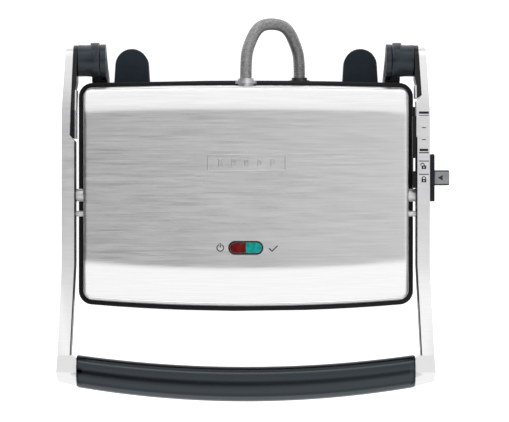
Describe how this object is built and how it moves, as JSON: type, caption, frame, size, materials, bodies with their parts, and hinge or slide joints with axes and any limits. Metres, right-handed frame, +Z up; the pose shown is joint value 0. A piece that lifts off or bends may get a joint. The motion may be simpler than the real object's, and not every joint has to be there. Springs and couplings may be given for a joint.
{
  "type": "panini press",
  "caption": "Brushed steel contact grill with a floating ridged top plate hung in a two-arm handle frame, height slider, flat lower plate and rear hinge barrels.",
  "frame": {"origin": "on the worktop, at the centre of the four rubber feet", "axes": "+Z up, +Y from the handle to the hinge, +X towards the height control, with the grill closed"},
  "size_m": [0.3649, 0.3586, 0.1092],
  "materials": {
    "brushed_cover": "brushed from side to side",
    "arm_metal": "brushed across",
    "barrel_black": "satin moulded",
    "black_shell": "fine grain moulded",
    "grip_black": "satin moulded",
    "slider_black": "matte moulded",
    "knob_grey": "satin moulded",
    "plate_coating": "non-stick coated casting",
    "element_sheath": "dull tube",
    "plain_steel": "zinc plated",
    "pin_chrome": "polished",
    "collar_dark": "dark grey",
    "conduit_metal": "wound spiral",
    "light_black": "gloss",
    "red_lens": "tinted",
    "green_lens": "tinted",
    "lamp_white": "board and glass lamps",
    "terminal_white": "glazed",
    "foot_rubber": "matte"
  },
  "bodies": {
    "base": {"base_shell": "black_shell", "base_skirt": "brushed_cover", "base_rim": "black_shell", "bottom_cover": "black_shell", "rubber_feet": "foot_rubber", "bottom_screws": "plain_steel", "lower_plate": "plate_coating", "lower_element": "element_sheath", "lower_heat_shield": "plain_steel", "terminal_block": "terminal_white", "cord_gland": "black_shell", "bracket_screws": "plain_steel", "conduit_collar_base": "collar_dark", "power_conduit": "conduit_metal", "height_ledge": "black_shell", "lock_striker": "plain_steel", "hinge_bracket_right": "barrel_black", "hinge_bracket_left": "barrel_black", "hinge_pin_right": "pin_chrome", "hinge_pin_left": "pin_chrome", "storage_foot_right": "black_shell", "storage_foot_left": "black_shell"},
    "handle_frame": {"arm_right": "arm_metal", "arm_left": "arm_metal", "arm_liner_right": "black_shell", "arm_liner_left": "black_shell", "arm_strip_right": "arm_metal", "arm_strip_left": "arm_metal", "hinge_barrel_right": "barrel_black", "hinge_barrel_left": "barrel_black", "handle_elbow_right": "arm_metal", "handle_elbow_left": "arm_metal", "handle_core": "plain_steel", "handle_grip": "grip_black", "elbow_screws": "plain_steel", "height_rail": "black_shell"},
    "height_slider": {"slider_carriage": "slider_black", "slider_plate": "slider_black", "slider_knob": "knob_grey", "detent_spring": "plain_steel"},
    "lid": {"lid_cover": "brushed_cover", "lid_rim": "black_shell", "upper_plate": "plate_coating", "lid_screws": "plain_steel", "upper_element": "element_sheath", "upper_heat_shield": "plain_steel", "thermostat": "plain_steel", "light_frame": "light_black", "red_lens": "red_lens", "green_lens": "green_lens", "pilot_lamps": "lamp_white", "conduit_collar_lid": "pin_chrome", "pivot_bracket_right": "plain_steel", "pivot_bracket_left": "plain_steel", "pivot_pin_right": "pin_chrome", "pivot_pin_left": "pin_chrome", "tilt_stop_pin_right": "pin_chrome", "tilt_stop_pin_left": "pin_chrome"}
  },
  "joints": [
    {"name": "handle_hinge", "type": "hinge", "parent": "base", "child": "handle_frame", "pos_m": [0, 0.126, 0.078], "axis": [-1, 0, 0], "range_deg": [0, 105], "deforming": ["power_conduit"]},
    {"name": "lid_tilt", "type": "hinge", "parent": "handle_frame", "child": "lid", "pos_m": [0, 0.0009, 0.0905], "axis": [-1, 0, 0], "range_deg": [-15.75, 0]},
    {"name": "height_slide", "type": "slide", "parent": "handle_frame", "child": "height_slider", "axis": [0, 1, 0], "range_m": [0, 0.059]}
  ],
  "couplings": [
    {"joint": "lid_tilt", "follows": "handle_hinge", "ratio": -0.15}
  ]
}
